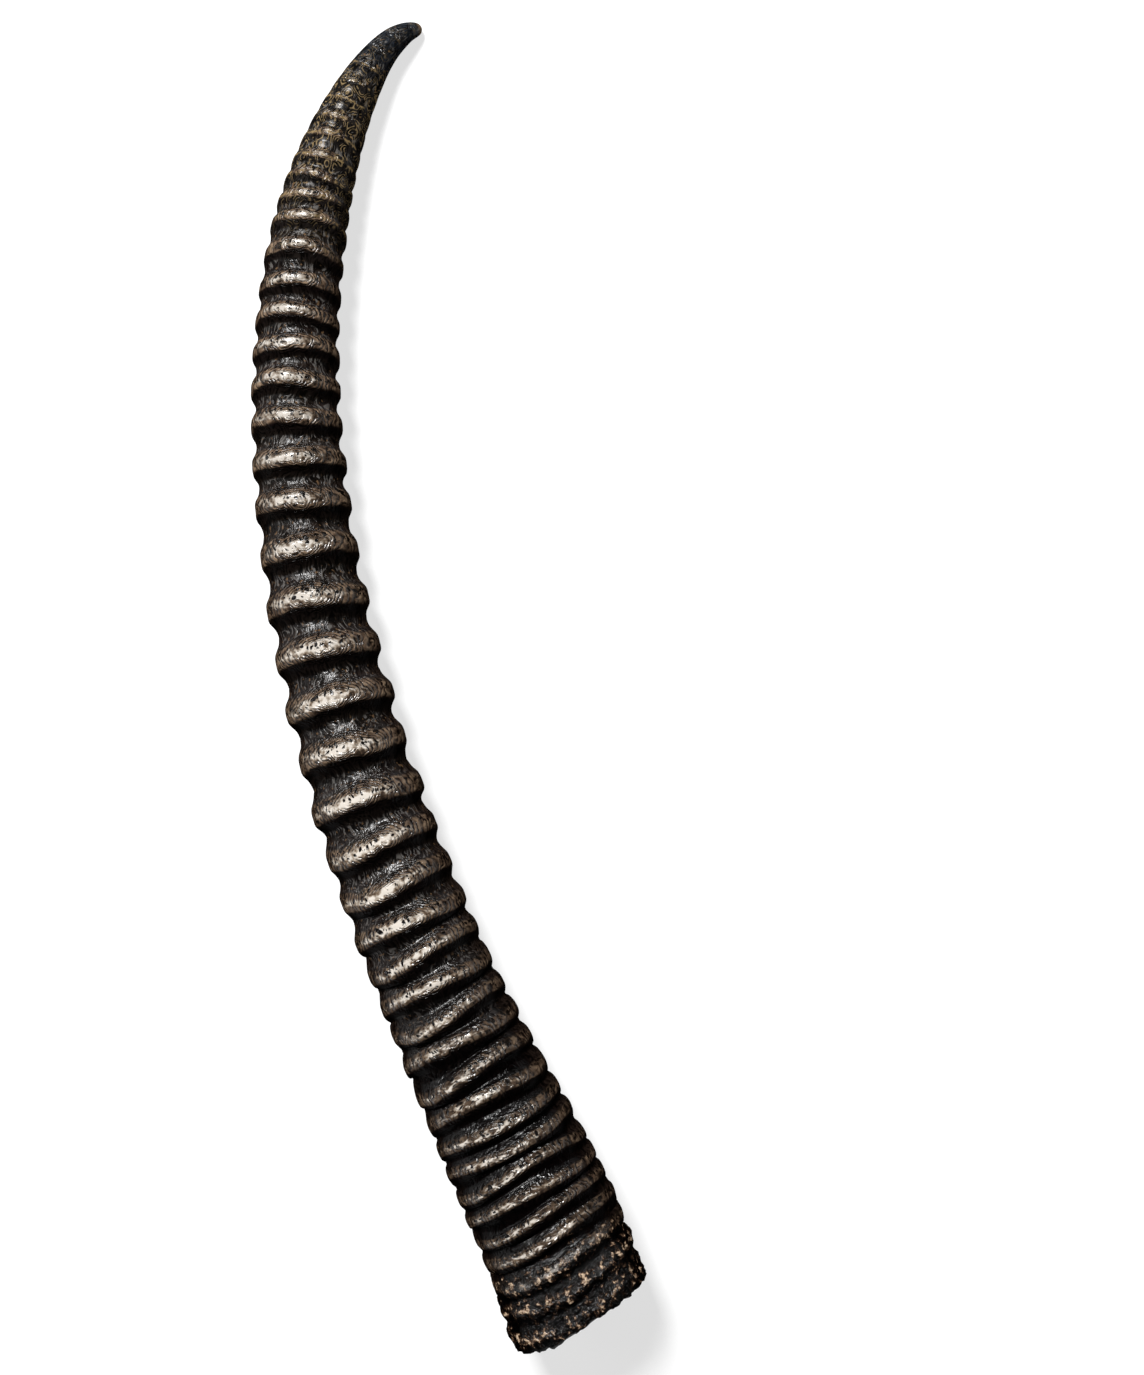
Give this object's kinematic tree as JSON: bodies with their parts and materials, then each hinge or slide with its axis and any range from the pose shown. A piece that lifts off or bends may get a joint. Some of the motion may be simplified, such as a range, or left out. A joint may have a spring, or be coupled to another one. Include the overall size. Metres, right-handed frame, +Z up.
{
  "type": "sable antelope horn",
  "caption": "Long curved horn of a sable antelope, ringed along most of its length, with a smooth hooked tip and a hollow base, lying on its side.",
  "frame": {"origin": "on the surface that the horn lies on, under the middle of its box", "axes": "+Y from the base towards the tip, +Z up, -X towards the outside of the bend"},
  "size_m": [0.14, 0.6406, 0.0665],
  "materials": {
    "horn_keratin": "dry horn keratin, near black in the grooves, worn and half glossy on the ring crests"
  },
  "bodies": {
    "root": {"horn": "horn_keratin"}
  },
  "joints": []
}
